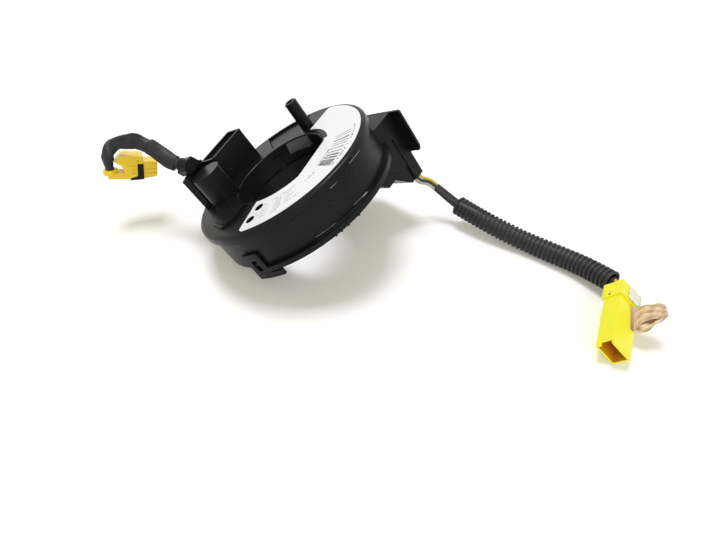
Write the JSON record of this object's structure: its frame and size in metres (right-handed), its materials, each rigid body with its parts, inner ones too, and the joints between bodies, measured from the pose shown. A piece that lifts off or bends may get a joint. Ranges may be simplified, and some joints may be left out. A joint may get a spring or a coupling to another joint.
{
  "type": "steering clock spring",
  "caption": "Steering clock spring: turning rotor with connector tower, cancel lug and drive post on a clip-on stator, with a taped pigtail and a harness.",
  "frame": {"origin": "steering axis at the level of the base cover's underside, where the column passes through the rotor sleeve's bore", "axes": "+Z along the steering axis, from the base cover to the rotor face; -Y is the side from which the label is read"},
  "size_m": [0.1882, 0.1976, 0.1875],
  "materials": {
    "black_plastic": "satin moulded black",
    "rotor_plastic": "satin moulded black",
    "label_film": "satin printed film, left bare",
    "tape_film": "clear film over copper",
    "terminal_plastic": "natural plastic",
    "pin_metal": "tinned brass",
    "woven_sleeve": "black woven tape",
    "wire_yellow": "wire insulation",
    "wire_black": "wire insulation",
    "wire_grey": "wire insulation",
    "conduit_plastic": "corrugated black plastic",
    "yellow_plastic": "moulded yellow",
    "orange_plastic": "moulded orange",
    "masking_paper": "crumpled masking tape"
  },
  "bodies": {
    "stator": {"base_cover": "black_plastic", "stator_case": "black_plastic", "rear_housing": "black_plastic", "rear_cover": "black_plastic", "rear_pins": "pin_metal", "stator_terminal": "terminal_plastic", "flat_tape": "tape_film", "wire_grey": "wire_grey", "wire_black": "wire_black", "wire_yellow": "wire_yellow", "harness_wrap": "woven_sleeve", "conduit": "conduit_plastic", "lead_yellow": "wire_yellow", "lead_black": "wire_black", "airbag_connector": "yellow_plastic", "connector_retainer": "orange_plastic", "connector_contacts": "pin_metal", "tape_flag": "masking_paper"},
    "rotor": {"rotor_cap": "rotor_plastic", "rotor_sleeve": "black_plastic", "face_label": "label_film", "header_insert": "rotor_plastic", "header_pins": "pin_metal", "rotor_terminal": "terminal_plastic", "wire_clamp": "rotor_plastic", "pigtail_sleeve": "woven_sleeve", "squib_plug": "yellow_plastic", "squib_cover": "yellow_plastic", "squib_lock": "yellow_plastic", "squib_band": "black_plastic"}
  },
  "joints": [
    {"name": "rotor_spin", "type": "hinge", "parent": "stator", "child": "rotor", "pos_m": [0, 0, 0.005], "axis": [0, 0, 1], "range_deg": [-900, 900], "deforming": ["flat_tape"]}
  ]
}
